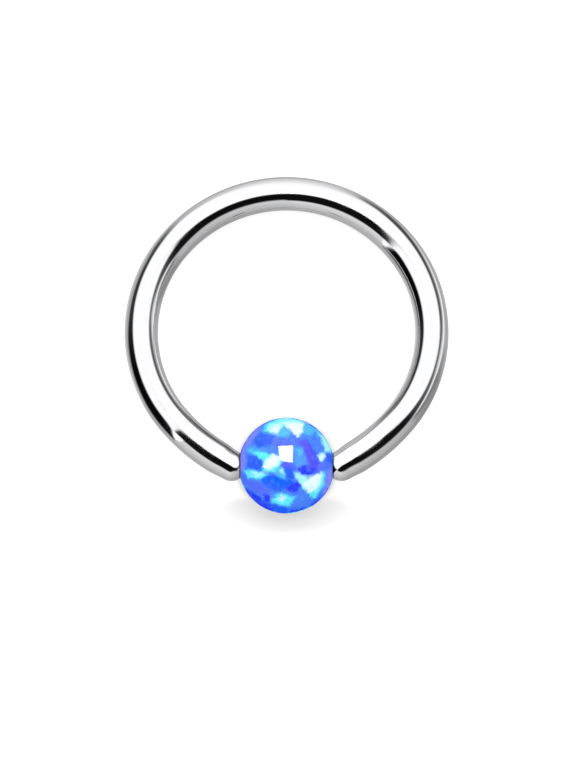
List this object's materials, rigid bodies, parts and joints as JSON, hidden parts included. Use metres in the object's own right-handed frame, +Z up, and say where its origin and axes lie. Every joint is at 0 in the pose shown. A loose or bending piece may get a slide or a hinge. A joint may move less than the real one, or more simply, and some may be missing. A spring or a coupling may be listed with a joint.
{
  "type": "captive bead ring",
  "caption": "Polished round wire ring for a piercing, whose tapered ends hold a dimpled opal bead that turns freely between them.",
  "frame": {"origin": "on the surface it lies on, below the middle of the ring's box", "axes": "+Y from the bead towards the crown of the ring, +X across the ring along the bead's axis, +Z up"},
  "size_m": [0.0154, 0.0159, 0.0045],
  "materials": {
    "polished_steel": "mirror polished surgical steel with faint bending and handling marks",
    "blue_opal": "polished lab-grown opal, blue to cyan flakes under a clear gloss"
  },
  "bodies": {
    "ring": {"ring_wire": "polished_steel"},
    "bead": {"opal_bead": "blue_opal"}
  },
  "joints": [
    {"name": "bead_spin", "type": "hinge", "parent": "ring", "child": "bead", "pos_m": [0, -0.00568, 0.00228], "axis": [1, 0, 0], "continuous": true}
  ]
}
